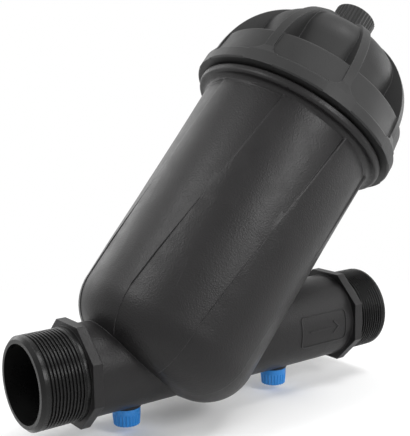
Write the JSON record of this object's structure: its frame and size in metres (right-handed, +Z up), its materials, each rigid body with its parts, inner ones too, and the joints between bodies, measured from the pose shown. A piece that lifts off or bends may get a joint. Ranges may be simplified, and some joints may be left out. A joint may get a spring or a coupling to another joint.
{
  "type": "y filter",
  "caption": "Plastic Y pattern pipe filter: leaning barrel with screen cartridge, finned screw cover, flush cap, two test plugs and male threads.",
  "frame": {"origin": "centre of the inlet nipple's end face, on the pipe's axis", "axes": "+X along the pipe from inlet to outlet, +Z up, the barrel leans up and towards the outlet"},
  "size_m": [0.2975, 0.154, 0.2737],
  "materials": {
    "black_housing": "fine grained",
    "black_cover": "fine grained",
    "black_cap": "satin, fine ribs",
    "blue_plug": "satin",
    "seal_rubber": "smooth",
    "cage_plastic": "moulded",
    "steel_screen": "woven mesh"
  },
  "bodies": {
    "housing": {"housing": "black_housing"},
    "cartridge": {"cartridge_cage": "cage_plastic", "screen_sleeve": "steel_screen", "cartridge_top_ring": "cage_plastic", "cartridge_bottom_ring": "cage_plastic", "upper_cartridge_seal": "seal_rubber", "lower_cartridge_seal": "seal_rubber"},
    "cover_seal": {"cover_o_ring": "seal_rubber"},
    "cover": {"cover": "black_cover"},
    "cap_seal": {"flush_cap_gasket": "seal_rubber"},
    "flush_cap": {"flush_cap": "black_cap"},
    "inlet_plug_seal": {"inlet_plug_o_ring": "seal_rubber"},
    "inlet_plug": {"inlet_test_plug": "blue_plug"},
    "outlet_plug_seal": {"outlet_plug_o_ring": "seal_rubber"},
    "outlet_plug": {"outlet_test_plug": "blue_plug"}
  },
  "joints": [
    {"name": "cartridge_lift", "type": "slide", "parent": "housing", "child": "cartridge", "axis": [0.6481, 0, 0.7615], "range_m": [0, 0.19]},
    {"name": "cover_rise", "type": "slide", "parent": "cartridge", "child": "cover_seal", "axis": [0.6481, 0, 0.7615], "range_m": [0, 0.018]},
    {"name": "cover_turn", "type": "hinge", "parent": "cover_seal", "child": "cover", "pos_m": [0.0935, 0, 0], "axis": [0.6481, 0, 0.7615], "range_deg": [0, 810]},
    {"name": "cap_rise", "type": "slide", "parent": "cover", "child": "cap_seal", "axis": [0.6481, 0, 0.7615], "range_m": [0, 0.00726]},
    {"name": "cap_turn", "type": "hinge", "parent": "cap_seal", "child": "flush_cap", "pos_m": [0.0935, 0, 0], "axis": [0.6481, 0, 0.7615], "range_deg": [0, 1440]},
    {"name": "inlet_plug_drop", "type": "slide", "parent": "housing", "child": "inlet_plug_seal", "axis": [0, 0, -1], "range_m": [0, 0.00535]},
    {"name": "inlet_plug_turn", "type": "hinge", "parent": "inlet_plug_seal", "child": "inlet_plug", "pos_m": [0.073, 0, -0.033], "axis": [0, 0, -1], "range_deg": [0, 1440]},
    {"name": "outlet_plug_drop", "type": "slide", "parent": "housing", "child": "outlet_plug_seal", "axis": [0, 0, -1], "range_m": [0, 0.00535]},
    {"name": "outlet_plug_turn", "type": "hinge", "parent": "outlet_plug_seal", "child": "outlet_plug", "pos_m": [0.199, 0, -0.033], "axis": [0, 0, -1], "range_deg": [0, 1440]}
  ],
  "couplings": [
    {"joint": "cover_rise", "follows": "cover_turn", "m_per_rad": 0.0012732},
    {"joint": "cap_rise", "follows": "cap_turn", "m_per_rad": 0.00028871},
    {"joint": "inlet_plug_drop", "follows": "inlet_plug_turn", "m_per_rad": 0.00021279},
    {"joint": "outlet_plug_drop", "follows": "outlet_plug_turn", "m_per_rad": 0.00021279}
  ]
}
